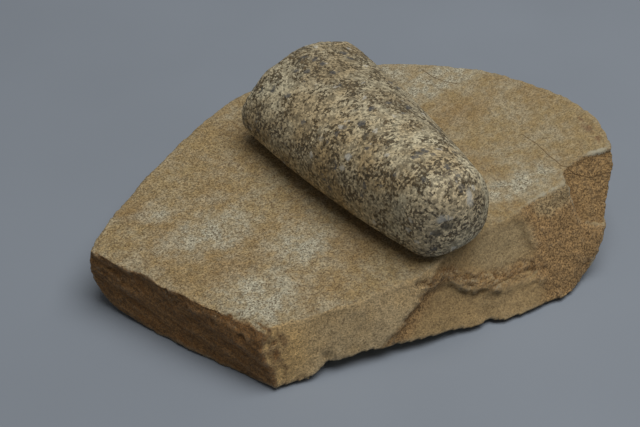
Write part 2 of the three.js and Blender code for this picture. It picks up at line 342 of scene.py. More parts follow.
# %% [markdown]
# Relief is a height in mm along each point's normal. The left break follows the bedding: thin beds that
# step in and out and dip towards the near corner. The torn stone lies in small shingles along the ledge
# and the arris. The other faces are plain: fine pecking on the worn face, grainy stone on the front, and
# rougher pecking on the sides. The number in front of each kind of lump is its height in mm, and size is
# how large its lumps are.

# %% Relief of each face
LEFT_ALONG = unit(0.4276, -0.904, 0)
BEDDING_DIP = math.tan(math.radians(9.6))
SCAR_DEPTH = 2.4
TORN_INWARD = 0.6
UNDER_INWARD = 1.2
FLAKED_FROM = (85, 110)


def beds_of(points):
    """Points in the frame of the bedding: along the break, into the stone, and across the beds."""
    along = points @ LEFT_ALONG
    layer = points[:, 2] + BEDDING_DIP * along
    return np.stack([along, points @ LEFT_INWARD, layer], axis=1)


def bedded(points):
    beds = beds_of(points)
    steps = 0.5 * chips(beds, size=(34, 20, 5), seed=11) + 0.25 * chips(beds, size=(14, 10, 3.6), seed=43)
    return steps + 0.35 * rough(points, size=9, seed=13)


def grainy(points):
    """Broken stone, with flat flakes towards its right end."""
    grain = 0.6 * rough(points, size=16, seed=21) + 0.3 * rough(points, size=6, seed=22, octaves=2)
    return grain + smooth(points[:, 0], *FLAKED_FROM) * 0.45 * chips(points, size=(9, 9, 7), seed=53)


def shingles(points):
    """Thin torn layers that run along the arris and the ledge, with sharp cracks between them."""
    ledge = smooth(points[:, 0], *ARRIS_TO_LEDGE)
    across = ledge * above_ledge(points) + (1 - ledge) * from_arris(points)
    bent = np.stack([points[:, 0], points[:, 2] + points[:, 1], across], axis=1)
    large = 1.5 * chips(bent, size=(13, 11, 6), seed=23)
    small = 0.8 * chips(bent, size=(6, 6, 4), seed=33) + 0.4 * chips(bent, size=3.2, seed=34)
    return large + small - TORN_INWARD


def torn(points):
    foot = ledge_foot(points) * 1.1 * chips(points, size=(11, 9, 6), seed=83)
    return torn_band(points) * shingles(points) + foot


def worn(points):
    return 0.3 * lumps(points, size=45, seed=3) + 0.16 * rough(points, size=7, seed=5)


def pecked(points):
    swell = 1.3 * lumps(points, size=24, seed=31)
    return swell + 0.75 * rough(points, size=8, seed=32) + 0.4 * chips(points, size=8, seed=63)


def underside(points):
    return 1.0 * lumps(points, size=22, seed=41) + 0.5 * rough(points, size=8, seed=42) - UNDER_INWARD


def slab_relief(points, faces):
    """The height of each point, from its share of each face."""
    scar = SCAR_DEPTH * right_scar(points)
    grain = grainy(points)
    beds = bedded(points)
    return (
        faces["top"] * worn(points)
        + faces["left"] * beds
        + faces["front"] * (grain + torn(points) - scar)
        + faces["corner"] * (grain + 0.5 * beds - scar)
        + faces["sides"] * pecked(points)
        + faces["under"] * underside(points)
    )


height = slab_relief(points, faces)
print("relief of the quern before chipping, mm:", height.min().round(2), "to", height.max().round(2))

# %% [markdown]
# The rims of the quern are chipped here and there, and the upper edge of the left break is chipped all
# along. A rim is where the skin bends outward sharply, so it is found by how far each point stands out
# from its neighbours. Chips could also be cut one by one with small solids, which takes far longer. The
# moved points are kept inside the CAD solid's box, because the quern must not grow.

# %% Chipped rims
RIM_BEND = (0.05, 0.25)
RIM_CHIPPED = (0.1, 0.7)
RIM_DEPTH = 1.3
LEFT_RIM = (16, 6)
LEFT_RIM_FOOT = (30, 45)
LEFT_RIM_DEPTH = 0.9
SPREAD_ROUNDS = 2


def bend_of(points, normals, edges):
    """How sharply the skin bends at each point, above 0 on edges and below 0 in hollows, evened out."""
    bend = ((points - neighbour_mean(points, edges)) * normals).sum(axis=1)
    for _ in range(SPREAD_ROUNDS):
        bend = neighbour_mean(bend, edges)
    return bend


def chipped(points, normals, edges):
    """How deep each point is chipped away."""
    rim = smooth(bend_of(points, normals, edges), *RIM_BEND)
    patchy = lumps(points, size=9, seed=51) + 0.5 * lumps(points, size=4, seed=52)
    left_rim = smooth(from_left(points), *LEFT_RIM) * smooth(points[:, 2], *LEFT_RIM_FOOT)
    flaked = LEFT_RIM_DEPTH * (1 + chips(points, size=(11, 11, 7), seed=57))
    return rim * smooth(patchy, *RIM_CHIPPED) * RIM_DEPTH + left_rim * flaked


def keep_in_box(points, node):
    low, high = (np.array(corner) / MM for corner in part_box(node))
    return np.clip(points, low, high)


normals = normals_of(slab.data)
height -= chipped(points, normals, edge_list(slab.data))
points = keep_in_box(points + normals * height[:, None], "quern_slab")
move_points(slab.data, points)
print("relief of the quern, mm:", height.min().round(2), "to", height.max().round(2))

# %% [markdown]
# The rubbing stone was pecked all over and then worn smooth along its crest by hands and on its flat by
# grinding. Its far end was left rough. Pits are lumps of which only the high part is kept, and taken
# away from the stone.

# %% Relief of the rubbing stone
FAR_END = (62, 12)
CREST_TURNED_UP = (0.55, 0.95)
FLAT_TURNED_DOWN = (0.5, 0.8)
PIT_EDGE = (0.15, 0.9)
PIT_DEPTH = 0.55
WORN_OFF_CREST = 0.3
FLAT_PIT_DEPTH = 0.15


def rubber_relief(points, normals):
    """The height of each point: swellings and pits, shallower on the crest and on the flat."""
    low, high = (np.array(corner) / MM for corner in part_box("rubbing_stone"))
    far_end = smooth(high[1] - points[:, 1], *FAR_END)
    crest = smooth(normals[:, 2], *CREST_TURNED_UP) * (1 - far_end)
    flat = smooth(-normals[:, 2], *FLAT_TURNED_DOWN)
    pitted = lumps(points, size=2.6, seed=61) + 0.5 * lumps(points, size=5.5, seed=62)
    pits = smooth(pitted, *PIT_EDGE)
    swell = 0.5 * lumps(points, size=40, seed=63) + 0.35 * lumps(points, size=16, seed=64)
    rough_end = 0.8 * rough(points, size=14, seed=65) + 0.4 * lumps(points, size=3.5, seed=66)
    height = swell - pits * (PIT_DEPTH - WORN_OFF_CREST * crest) + far_end * rough_end
    return height * (1 - flat) - FLAT_PIT_DEPTH * flat * pits


rubber_points = points_of(rubber.data)
rubber_normals = normals_of(rubber.data)
height = rubber_relief(rubber_points, rubber_normals)
rubber_points = keep_in_box(rubber_points + rubber_normals * height[:, None], "rubbing_stone")
move_points(rubber.data, rubber_points)
print("relief of the rubbing stone, mm:", height.min().round(2), "to", height.max().round(2))

# %% [markdown]
# The materials need to know where they are: which face a point is on, and whether it is an edge or a
# hollow. These go on the mesh as attributes, one number for each point, and the shader reads them by
# name. All are measured again after the relief, so each pit and ledge counts. A texture painted by hand
# could hold them too, but this file uses no images.

# %% Faces, edges and hollows, stored for the materials
SLAB_BEND = 0.35
RUBBER_BEND = 0.2


def store(piece, name, values):
    attribute = piece.data.attributes.new(name, "FLOAT", "POINT")
    attribute.data.foreach_set("value", np.ascontiguousarray(values, dtype=np.float32))


def store_bends(piece, full):
    """Stores how much each point stands out (edge) or lies back (hollow): 1 where it bends by full mm."""
    bend = bend_of(points_of(piece.data), normals_of(piece.data), edge_list(piece.data))
    store(piece, "edge", np.clip(bend / full, 0, 1))
    store(piece, "hollow", np.clip(-bend / full, 0, 1))
    print(piece.name, "bends: mean", np.abs(bend).mean().round(3), "mm")


points = points_of(slab.data)
faces = slab_faces(points, normals_of(slab.data))
store(slab, "worn_face", faces["top"])
store(slab, "left_break", faces["left"])
store(slab, "front_break", np.clip(faces["front"] + faces["corner"], 0, 1))
store(slab, "torn_band", torn_band(points) * faces["front"])
store(slab, "right_scar", right_scar(points) * (1 - faces["top"]))
store_bends(slab, SLAB_BEND)
store_bends(rubber, RUBBER_BEND)

# %% [markdown]
# The front break has several tones, which follow its scars: light left of the arris, burnt orange right
# of it and at the right end, and greenish grey on the upper scar, under the rim and in the bowl of the
# lower scar. Each tone is stored as a share, so the material can lay one over the other.

# %% Tones of the front break
LIGHT_EDGE = (3, -3)
GREY_SCAR = {"centre": (77, 51), "reach": (32, 17)}
GREY_SCAR_EDGE = (1.15, 0.6)
GREY_RIM = {"centre": (136, 6), "reach": (22, 9)}
GREY_RIM_EDGE = (1.2, 0.7)
BOWL_SHARE = 0.4
BOWL_X = (20, 110)
BOWL_TOP = (28, 20)
ORANGE_BESIDE = (-4, 34)
ORANGE_TOP = (54, 46)
TORN_ORANGE = 0.8
ORANGE_RIGHT = (90, 112)


def from_oval(across, up, centre, reach):
    """0 at the middle of an oval and 1 on its edge."""
    return np.hypot((across - centre[0]) / reach[0], (up - centre[1]) / reach[1])


def front_tones(points):
    """How light, how greenish grey and how burnt the front break is, from 0 to 1."""
    x, _, z = points.T
    beside = from_arris(points) + 2.5 * lumps(points, size=9, seed=26)
    scar = from_oval(x, z, **GREY_SCAR) + 0.15 * lumps(points, size=12, seed=28)
    under_rim = from_oval(x, top_height(x) - z, **GREY_RIM) + 0.2 * lumps(points, size=8, seed=29)
    bowl = BOWL_SHARE * hump(x, *BOWL_X) * smooth(z, *BOWL_TOP)
    grey = smooth(scar, *GREY_SCAR_EDGE) + smooth(under_rim, *GREY_RIM_EDGE) + bowl
    orange = hump(beside, *ORANGE_BESIDE) * smooth(z, *ORANGE_TOP) + TORN_ORANGE * torn_band(points)
    orange += smooth(x + 6 * lumps(points, size=14, seed=27), *ORANGE_RIGHT)
    return smooth(beside, *LIGHT_EDGE), np.clip(grey, 0, 1), np.clip(orange, 0, 1)


light, grey, orange = front_tones(points)
store(slab, "light_tone", light * faces["front"])
store(slab, "grey_tone", grey * faces["front"])
store(slab, "orange_tone", orange * faces["front"] + faces["corner"])
print(f"tones of the front: light {light.mean():.0%}, grey {grey.mean():.0%}, orange {orange.mean():.0%}")

# %% [markdown]
# The rubbing stone lies turned a little from the quern's short side. Its right side is streaked with
# dark mica and painted darker, as shade, and its left side is rusty, so both sides are stored, measured
# square to the stone's length.

# %% Sides of the rubbing stone
STONE_TURN = math.radians(21)
RIGHT_SIDE = (11, 34)
RIGHT_SIDE_NEAR_END = (-132, -112)
LEFT_SIDE = (6, -40)
LEFT_SIDE_NEAR_END = (-110, -60)

rubber_points = points_of(rubber.data)
across = rubber_points[:, :2] @ np.array([math.cos(STONE_TURN), math.sin(STONE_TURN)])
y = rubber_points[:, 1]
store(rubber, "right_side", smooth(across, *RIGHT_SIDE) * smooth(y, *RIGHT_SIDE_NEAR_END))
store(rubber, "left_side", smooth(across, *LEFT_SIDE) * smooth(y, *LEFT_SIDE_NEAR_END))
print("the rubbing stone, across:", across.min().round(1), "to", across.max().round(1), "mm")

# %% [markdown]
# A crack runs in from the right end of the front break and across the grinding face, and a second, short
# one lies near the far rim. They are hair thin, far finer than the mesh, so what is stored is the
# distance to the nearest line, with a side. It runs evenly through 0 at the line, and the shader can
# draw a groove there that is thinner than a face of the mesh.

# %% The cracks
CRACK = [(159, -44), (161, -54), (162, -61), (160, -78), (160, -97), (168, -106), (182, -113), (200, -118)]
RIM_LINE = [(144, 88), (146, 72), (149, 60), (156, 50)]
CRACK_FOOT = 60
FAR_AWAY = 50


def distance_to(line, flat):
    """Signed distance from each flat point to a line of points."""
    line = np.array(line, dtype=float)
    best = np.full(len(flat), np.inf)
    for start, end in zip(line[:-1], line[1:]):
        run = end - start
        share = np.clip(((flat - start) @ run) / (run @ run), 0, 1)
        offset = flat - start - share[:, None] * run
        side = np.sign(run[0] * offset[:, 1] - run[1] * offset[:, 0])
        distance = np.hypot(*offset.T)
        best = np.where(distance < np.abs(best), distance * np.where(side == 0, 1, side), best)
    return best


wobble = 0.8 * lumps(points, size=9, seed=71)
crack = distance_to(CRACK, points[:, :2]) + wobble
rim_line = distance_to(RIM_LINE, points[:, :2]) + wobble
crack = np.where(np.abs(rim_line) < np.abs(crack), rim_line, crack)
crack = np.where(points[:, 2] > CRACK_FOOT, crack, FAR_AWAY)
store(slab, "crack", crack)
print("points within 2 mm of a crack:", int((np.abs(crack) < 2).sum()))

# %% [markdown]
# Shader networks are long when written out in full. The first helper adds one node, sets its plain
# values, and links a socket where it is given one. The others cover the nodes that are used most. Sizes
# are given in mm, as on the stones, and turned into the scale that Blender's textures take.

# %% Helpers for shader nodes
def add(tree, kind, inputs=None, **settings):
    made = tree.nodes.new("ShaderNode" + kind)
    for name, value in settings.items():
        setattr(made, name, value)
    for name, value in (inputs or {}).items():
        if isinstance(value, bpy.types.NodeSocket):
            tree.links.new(value, made.inputs[name])
        else:
            made.inputs[name].default_value = value
    return made


def maths(tree, operation, first, second=0.0):
    return add(tree, "Math", {0: first, 1: second}, operation=operation).outputs[0]


def vectors(tree, operation, inputs):
    return add(tree, "VectorMath", inputs, operation=operation).outputs[0]


def ramp(tree, value, low, high, bottom=0.0, top=1.0):
    """Turns a value that runs from low to high into one that runs from bottom to top."""
    inputs = {"Value": value, "From Min": low, "From Max": high, "To Min": bottom, "To Max": top}
    return add(tree, "MapRange", inputs, interpolation_type="SMOOTHSTEP").outputs["Result"]


def tint(tree, share, under, over, strength=1.0, blend_type="MIX"):
    """Lays one colour over another by a share, weaker where strength is below 1."""
    if strength != 1.0:
        share = maths(tree, "MULTIPLY", share, strength)
    mix = add(tree, "Mix", {0: share}, data_type="RGBA", blend_type=blend_type)
    for slot, value in ((6, under), (7, over)):
        if isinstance(value, bpy.types.NodeSocket):
            tree.links.new(value, mix.inputs[slot])
        else:
            mix.inputs[slot].default_value = (*value, 1)
    return mix.outputs[2]


def darkened(tree, colour, shade):
    """A colour times a grey value."""
    grey = add(tree, "CombineColor", {0: shade, 1: shade, 2: shade}).outputs[0]
    return tint(tree, 1.0, colour, grey, blend_type="MULTIPLY")


def measured(tree, name):
    """A number stored on the mesh."""
    return add(tree, "Attribute", attribute_name=name).outputs["Fac"]


def noise(tree, place, size, detail=2.0, roughness=0.5):
    """Blender's noise, with lumps of a size in mm."""
    inputs = {"Vector": place, "Scale": 1 / (size * MM), "Detail": detail, "Roughness": roughness}
    return add(tree, "TexNoise", inputs).outputs["Fac"]


def shaken(tree, place, scale, reach, detail):
    """A place moved about at random, so that what is drawn with it gets a ragged edge."""
    random = add(tree, "TexNoise", {"Vector": place, "Scale": scale, "Detail": detail})
    shift = vectors(tree, "SUBTRACT", {0: random.outputs["Color"], 1: (0.5, 0.5, 0.5)})
    shift = vectors(tree, "SCALE", {0: shift, "Scale": reach})
    return vectors(tree, "ADD", {0: place, 1: shift})


def new_material(name):
    material = bpy.data.materials.new(name)
    material.use_nodes = True
    tree = material.node_tree
    place = add(tree, "TexCoord").outputs["Object"]
    return material, tree, tree.nodes["Principled BSDF"], place


stored = [attribute.name for attribute in slab.data.attributes if attribute.data_type == "FLOAT"]
print("numbers that the shaders can read on the quern:", stored)

# %% [markdown]
# Both stones are made of grains, get soft blotches of stain, and are paler on their edges and darker in
# their pits. Single marks are placed one by one. Each of these effects is a node group with named inputs,
# built once and placed in each material with its own values.

# %% Node groups that both stones share
def new_group(name, inputs, outputs):
    """An empty group. Its inputs are names with plain values, or None for a vector."""
    group = bpy.data.node_groups.new(name, "ShaderNodeTree")
    for label, value in inputs.items():
        kind = "NodeSocketVector" if value is None else "NodeSocketFloat"
        socket = group.interface.new_socket(label, in_out="INPUT", socket_type=kind)
        if kind == "NodeSocketFloat":
            socket.default_value = value
    for label in outputs:
        group.interface.new_socket(label, in_out="OUTPUT", socket_type="NodeSocketFloat")
    source = group.nodes.new("NodeGroupInput").outputs
    sink = group.nodes.new("NodeGroupOutput").inputs
    return group, source, sink


def make_grains():
    """Mineral grains: a random number for each grain, and how high the grain stands."""
    group, source, sink = new_group("grains", {"Place": None, "Size mm": 1.0}, ["Grain", "Height"])
    scale = maths(group, "DIVIDE", 1 / MM, source["Size mm"])
    cells = add(group, "TexVoronoi", {"Vector": source["Place"], "Scale": scale})
    random = add(group, "SeparateColor", {"Color": cells.outputs["Color"]}).outputs[0]
    fine = add(group, "TexNoise", {"Vector": source["Place"], "Scale": scale, "Detail": 3.0})
    domed = maths(group, "MULTIPLY", cells.outputs["Distance"], 0.5)
    group.links.new(random, sink["Grain"])
    group.links.new(maths(group, "SUBTRACT", fine.outputs["Fac"], domed), sink["Height"])
    return group


def make_blotches():
    """Soft patches, as stains and weathering make them."""
    inputs = {"Place": None, "Size mm": 30.0, "Cover": 0.5, "Softness": 0.1}
    group, source, sink = new_group("blotches", inputs, ["Patch"])
    scale = maths(group, "DIVIDE", 1 / MM, source["Size mm"])
    clouds = {"Vector": source["Place"], "Scale": scale, "Detail": 5.0, "Roughness": 0.6}
    clouds = add(group, "TexNoise", clouds).outputs["Fac"]
    bare = maths(group, "SUBTRACT", 1.0, source["Cover"])
    low = maths(group, "SUBTRACT", bare, source["Softness"])
    high = maths(group, "ADD", bare, source["Softness"])
    group.links.new(ramp(group, clouds, low, high), sink["Patch"])
    return group


def make_wear_and_shade():
    """Edges rubbed pale, and painted shade that darkens the hollows, broken up by noise."""
    group, source, sink = new_group("wear_and_shade", {"Place": None, "Size mm": 4.0}, ["Rubbed", "Hollow shade"])
    scale = maths(group, "DIVIDE", 1 / MM, source["Size mm"])
    patchy = add(group, "TexNoise", {"Vector": source["Place"], "Scale": scale, "Detail": 3.0})
    for name, output in (("edge", "Rubbed"), ("hollow", "Hollow shade")):
        uneven = ramp(group, patchy.outputs["Fac"], 0.3, 0.65, bottom=0.3, top=1.2)
        share = maths(group, "MULTIPLY", measured(group, name), uneven)
        group.links.new(share, sink[output])
    return group


def make_spot():
    """One soft oval mark with a ragged edge, at a place in metres and with a reach in mm."""
    inputs = {"Place": None, "Centre": None, "Reach mm": None, "Ragged mm": 4.0}
    group, source, sink = new_group("spot", inputs, ["Patch"])
    scale = maths(group, "DIVIDE", 0.5 / MM, source["Ragged mm"])
    reach = maths(group, "MULTIPLY", source["Ragged mm"], 3 * MM)
    moved = shaken(group, source["Place"], scale, reach, detail=4.0)
    away = vectors(group, "SUBTRACT", {0: moved, 1: source["Centre"]})
    away = vectors(group, "DIVIDE", {0: away, 1: source["Reach mm"]})
    away = add(group, "VectorMath", {0: away}, operation="LENGTH").outputs["Value"]
    group.links.new(ramp(group, away, 1.35 * MM, 0.4 * MM), sink["Patch"])
    return group


GRAINS = make_grains()
BLOTCHES = make_blotches()
WEAR_AND_SHADE = make_wear_and_shade()
SPOT = make_spot()


def grouped(tree, group, place, **values):
    """Places a group in a material. Its inputs are named as in the group, with _ for a space."""
    node = add(tree, "Group", node_tree=group)
    tree.links.new(place, node.inputs["Place"])
    for name, value in values.items():
        node.inputs[name.replace("_", " ")].default_value = value
    return node.outputs


def blotches(tree, place, size, cover, softness):
    return grouped(tree, BLOTCHES, place, Size_mm=size, Cover=cover, Softness=softness)["Patch"]


def spots(tree, place, marks, ragged):
    """A mask of several marks, each a centre and a reach in mm."""
    total = 0.0
    for centre, reach in marks:
        metres = tuple(value * MM for value in centre)
        spot = grouped(tree, SPOT, place, Centre=metres, Reach_mm=reach, Ragged_mm=ragged)
        total = maths(tree, "MAXIMUM", total, spot["Patch"])
    return total


print("groups:", [group.name for group in (GRAINS, BLOTCHES, WEAR_AND_SHADE, SPOT)])

# %% [markdown]
# The grinding face is buff, with soft ochre clouds. Where the grinding has laid the grain bare it is
# pale and cool, and iron has left rusty patches and a few dark marks at the right rim. Random blotches
# alone would give the right mix of colours in the wrong places, so the main patches are placed one by
# one, where the real ones are, and noise only makes their edges ragged.

# %% Colour of the grinding face
BUFF = (0.41, 0.312, 0.157)
PALE = (0.50, 0.455, 0.335)
BARE_AND_SHEEN = (0.54, 0.525, 0.415)
OCHRE = (0.34, 0.225, 0.10)
IRON = (0.19, 0.075, 0.045)
TOP_DEPTH = 1000
PALE_PATCHES = [
    (-126, 8, 42, 28),
    (-122, -78, 38, 34),
    (-66, -46, 34, 28),
    (-155, 55, 20, 14),
    # This patch and the one at 80, 105 are partly bare grain, partly painted sheen from glancing light.
    (150, 66, 60, 26),
    (122, -88, 44, 18),
    (80, 105, 80, 40),
    (60, -60, 30, 24),
]
RUSTY_PATCHES = [(-124, -43, 34, 14), (-28, -66, 30, 26), (-172, 64, 18, 14), (144, 15, 34, 20)]
IRON_MARKS = [((206, -74, 89), (3, 7, 4)), ((208, -62, 90), (2.5, 4, 4)), ((204, -90, 89), (2.5, 4, 4))]


def on_top(patches):
    """Marks on the grinding face, from X, Y, length and width."""
    return [((x, y, 0), (length, width, TOP_DEPTH)) for x, y, length, width in patches]


def bare_and_sheen_patches(tree, place, freckles):
    """Bare grain, and painted sheen at the back: the placed patches, and a faint haze all over."""
    haze = blotches(tree, place, size=38.0, cover=0.47, softness=0.12)
    pale = spots(tree, place, on_top(PALE_PATCHES), ragged=17.0)
    pale = maths(tree, "MULTIPLY", pale, measured(tree, "worn_face"))
    pale = maths(tree, "MAXIMUM", pale, maths(tree, "MULTIPLY", haze, 0.4))
    return maths(tree, "MULTIPLY", pale, ramp(tree, freckles, 0.0, 1.0, bottom=0.45, top=1.0))


def worn_top(tree, place, clouds, freckles, pale):
    """The ground face: buff with ochre clouds, pale with bare grain and painted sheen, rusty in places."""
    flecks = ramp(tree, noise(tree, place, size=3.5, detail=3.0), 0.5, 0.62)
    rusty = spots(tree, place, on_top(RUSTY_PATCHES), ragged=12.0)
    iron = spots(tree, place, IRON_MARKS, ragged=3.0)
    colour = tint(tree, clouds, BUFF, OCHRE, strength=0.5)
    colour = tint(tree, freckles, colour, PALE, strength=0.25)
    colour = tint(tree, flecks, colour, OCHRE, strength=0.35)
    # Pale patches: bare grain, and painted sheen at the back of the face.
    colour = tint(tree, pale, colour, BARE_AND_SHEEN, strength=0.88)
    colour = tint(tree, rusty, colour, OCHRE, strength=0.4)
    return tint(tree, iron, colour, IRON, strength=0.45)


print("marks on the grinding face:", len(PALE_PATCHES + RUSTY_PATCHES + IRON_MARKS))

# %% [markdown]
# The front break is fresher stone: tan, burnt orange beside the arris and at the right end, greenish
# grey on the upper scar. The stored tones say where. In the torn band, stain has soaked in.

# %% Colour of the front break
TAN = (0.47, 0.335, 0.165)
BURNT = (0.42, 0.265, 0.12)
GREENISH = (0.44, 0.34, 0.19)
PALE_GREENISH = (0.60, 0.465, 0.27)
PALE_ORANGE = (0.77, 0.525, 0.23)
STAINED = (0.25, 0.12, 0.036)
ORANGE_CORNER = [((-142, -120, 28), (44, 26, 40))]


def front_colour(tree, place, clouds):
    """The front break: greenish grey and burnt orange, stained in the torn band."""
    corner = spots(tree, place, ORANGE_CORNER, ragged=8.0)
    orange = maths(tree, "MAXIMUM", maths(tree, "MULTIPLY", clouds, 0.6), corner)
    light = tint(tree, orange, PALE_GREENISH, PALE_ORANGE)
    soaked = ramp(tree, noise(tree, place, size=5), 0.42, 0.62)
    soaked = maths(tree, "MULTIPLY", measured(tree, "torn_band"), soaked)
    colour = tint(tree, measured(tree, "orange_tone"), TAN, BURNT)
    colour = tint(tree, clouds, colour, OCHRE, strength=0.3)
    colour = tint(tree, measured(tree, "grey_tone"), colour, GREENISH, strength=0.8)
    colour = tint(tree, measured(tree, "light_tone"), colour, light)
    colour = tint(tree, measured(tree, "right_scar"), colour, OCHRE, strength=0.45)
    return tint(tree, soaked, colour, STAINED, strength=0.45)


shown = (light * faces["front"] > 0.5, grey * faces["front"] > 0.5, orange * faces["front"] > 0.5)
print("points mostly light, grey and orange:", [int(share.sum()) for share in shown])

# %% [markdown]
# The left break shows the beds of the sandstone as thin brown streaks, with dark lines where they part.
# The noise is squeezed: its place runs at full scale across the beds and at a fifth along them, so each
# lump is drawn out into a streak. It follows the same dip as the relief.

# %% Colour of the left break
BROWN = (0.35, 0.19, 0.072)
PIT = (0.135, 0.078, 0.030)
STREAK_SQUEEZE = 0.2


def end_colour(tree, place):
    """The left break: brown, in thin streaks along the bedding."""
    across = (*(LEFT_ALONG[:2] * BEDDING_DIP), 1)
    layer = add(tree, "VectorMath", {0: place, 1: across}, operation="DOT_PRODUCT").outputs["Value"]
    flat = add(tree, "SeparateXYZ", {0: place})
    squeezed = [maths(tree, "MULTIPLY", flat.outputs[axis], STREAK_SQUEEZE) for axis in range(2)]
    beds = add(tree, "CombineXYZ", {0: squeezed[0], 1: squeezed[1], 2: layer}).outputs[0]
    streaks = noise(tree, beds, size=3.0, detail=5.0, roughness=0.65)
    lines = ramp(tree, noise(tree, beds, size=1.6, detail=3.0), 0.42, 0.34)
    colour = tint(tree, ramp(tree, streaks, 0.35, 0.65), STAINED, BROWN)
    return tint(tree, lines, colour, PIT, strength=0.75)


print("bedding dips", round(math.degrees(math.atan(BEDDING_DIP)), 1), "degrees")

# %% [markdown]
# Sandstone is quartz grains about a millimetre across. How strongly they show is one number, the
# contrast, which drives both the light and dark grains and the pits between them. They show least at the
# right end of the top, more at the left end and in the bare patches, and most on burnt stone.

# %% Grains and pits of the sandstone
FAINTEST_X = 50
STRONGEST_X = -80
FINE_GRAIN = 1.1
COARSE_GRAIN = 2.6


def grain_contrast(tree, place, pale):
    """How strongly the grains show, from 0 to 1."""
    x = add(tree, "SeparateXYZ", {0: place}).outputs[0]
    contrast = ramp(tree, x, FAINTEST_X * MM, STRONGEST_X * MM, bottom=0.27, top=0.52)
    broken = ramp(tree, measured(tree, "front_break"), 0, 1, bottom=1.0, top=0.6)
    contrast = maths(tree, "MULTIPLY", contrast, broken)
    burnt = maths(tree, "MULTIPLY", measured(tree, "orange_tone"), 0.75)
    contrast = maths(tree, "MAXIMUM", contrast, burnt)
    return maths(tree, "MAXIMUM", contrast, maths(tree, "MULTIPLY", pale, 0.68))


def speckle(tree, place, grain, contrast):
    """Light and dark grains, as a grey value near 1."""
    coarse = grouped(tree, GRAINS, place, Size_mm=COARSE_GRAIN)["Grain"]
    spread = ramp(tree, contrast, 0, 1, bottom=0.45, top=1.15)
    fine = maths(tree, "MULTIPLY", maths(tree, "SUBTRACT", grain, 0.5), spread)
    return maths(tree, "ADD", fine, ramp(tree, coarse, 0, 1, bottom=0.9, top=1.08))


def sand_pits(tree, place, contrast):
    """Small dark pits where grains have come out."""
    pits = ramp(tree, noise(tree, place, size=1.5, detail=3.0, roughness=0.6), 0.475, 0.385)
    return maths(tree, "MULTIPLY", pits, ramp(tree, contrast, 0, 1, bottom=0.36, top=0.95))


print("grains of", FINE_GRAIN, "and", COARSE_GRAIN, "mm")

# %% [markdown]
# The whole sandstone: the three colours by face, then the grains, then wear and painted shade. Edges are
# rubbed pale, the rims of the right end most, and hollows are painted darker, as shade. Grains and pits
# also go into a bump, because they are finer than the mesh, and the rest of the surface is real relief.

# %% Sandstone
# The colour of the painted shade that darkens the hollows.
HOLLOW_SHADE = (0.17, 0.095, 0.038)
WORN_RIM = [
    ((131, -113, 76), (22, 4, 6)),
    ((194, -103, 87), (12, 8, 4)),
    ((158, -153, 16), (4, 5, 6)),
    ((155, -119, 65), (4, 7, 14)),
]
CRACK_EDGE = (0.7, 0.1)


def sand_wear_and_shade(tree, place, colour):
    """Rubbed edges, worn rims and painted shade in the hollows, over a colour."""
    wear_and_shade = grouped(tree, WEAR_AND_SHADE, place, Size_mm=5.0)
    colour = tint(tree, wear_and_shade["Rubbed"], colour, PALE, strength=0.4)
    rims = ramp(tree, measured(tree, "edge"), 0.02, 0.3)
    rims = maths(tree, "MULTIPLY", spots(tree, place, WORN_RIM, ragged=3.0), rims)
    colour = tint(tree, rims, colour, BARE_AND_SHEEN, strength=0.8)
    shade_strength = ramp(tree, measured(tree, "torn_band"), 0, 1, bottom=0.6, top=0.45)
    # Painted shade: the hollows are darkened, a little less in the torn band.
    return tint(tree, maths(tree, "MULTIPLY", wear_and_shade["Hollow shade"], shade_strength), colour, HOLLOW_SHADE)


def sandstone():
    material, tree, surface, place = new_material("sandstone")
    clouds = blotches(tree, place, size=60.0, cover=0.5, softness=0.16)
    freckles = blotches(tree, place, size=10.0, cover=0.5, softness=0.14)
    pale = bare_and_sheen_patches(tree, place, freckles)
    colour = worn_top(tree, place, clouds, freckles, pale)
    colour = tint(tree, measured(tree, "front_break"), colour, front_colour(tree, place, clouds))
    colour = tint(tree, measured(tree, "left_break"), colour, end_colour(tree, place))

    grains = grouped(tree, GRAINS, place, Size_mm=FINE_GRAIN)
    contrast = grain_contrast(tree, place, pale)
    pits = sand_pits(tree, place, contrast)
    crack = ramp(tree, maths(tree, "ABSOLUTE", measured(tree, "crack")), *CRACK_EDGE)
    colour = darkened(tree, colour, speckle(tree, place, grains["Grain"], contrast))
    colour = tint(tree, pits, colour, PIT)
    colour = sand_wear_and_shade(tree, place, colour)
    colour = tint(tree, crack, colour, PIT, strength=0.75)
    tree.links.new(colour, surface.inputs["Base Color"])

    roughness = ramp(tree, grains["Grain"], 0, 1, bottom=0.82, top=0.98)
    tree.links.new(roughness, surface.inputs["Roughness"])
    height = maths(tree, "SUBTRACT", grains["Height"], maths(tree, "MULTIPLY", pits, 0.8))
    height = maths(tree, "SUBTRACT", height, crack)
    bump = add(tree, "Bump", {"Height": height, "Strength": 0.6, "Distance": 0.5 * MM})
    tree.links.new(bump.outputs["Normal"], surface.inputs["Normal"])
    return material


slab.data.materials.append(sandstone())
print("sandstone has", len(slab.data.materials[0].node_tree.nodes), "nodes")

# %% [markdown]
# The rubbing stone is granite: cream feldspar, grey-brown quartz and dark mica, in crystals of two or
# three millimetres, all visible at once. The pale ground comes first. Rust has coloured its left side,
# its right side is painted darker grey-brown, as shade, and its near end is worn pale. A colour ramp on
# one noise would give bands round every dark spot, so each mineral gets a mask of its own.

# %% Pale ground of the granite
CREAM = (0.70, 0.64, 0.455)
SANDY = (0.53, 0.385, 0.19)
NOSE_CREAM = (1.0, 0.83, 0.53)
GREY_BROWN = (0.22, 0.182, 0.112)
WORN_NOSE = [((16, -124, 108), (34, 26, 30))]


def rusty_side(tree, place):
    """How rusty the granite is: in blotches, and more on the left side."""
    rust = blotches(tree, place, size=36.0, cover=0.5, softness=0.12)
    rust = maths(tree, "MULTIPLY", rust, 0.6)
    return maths(tree, "ADD", rust, maths(tree, "MULTIPLY", measured(tree, "left_side"), 0.4))


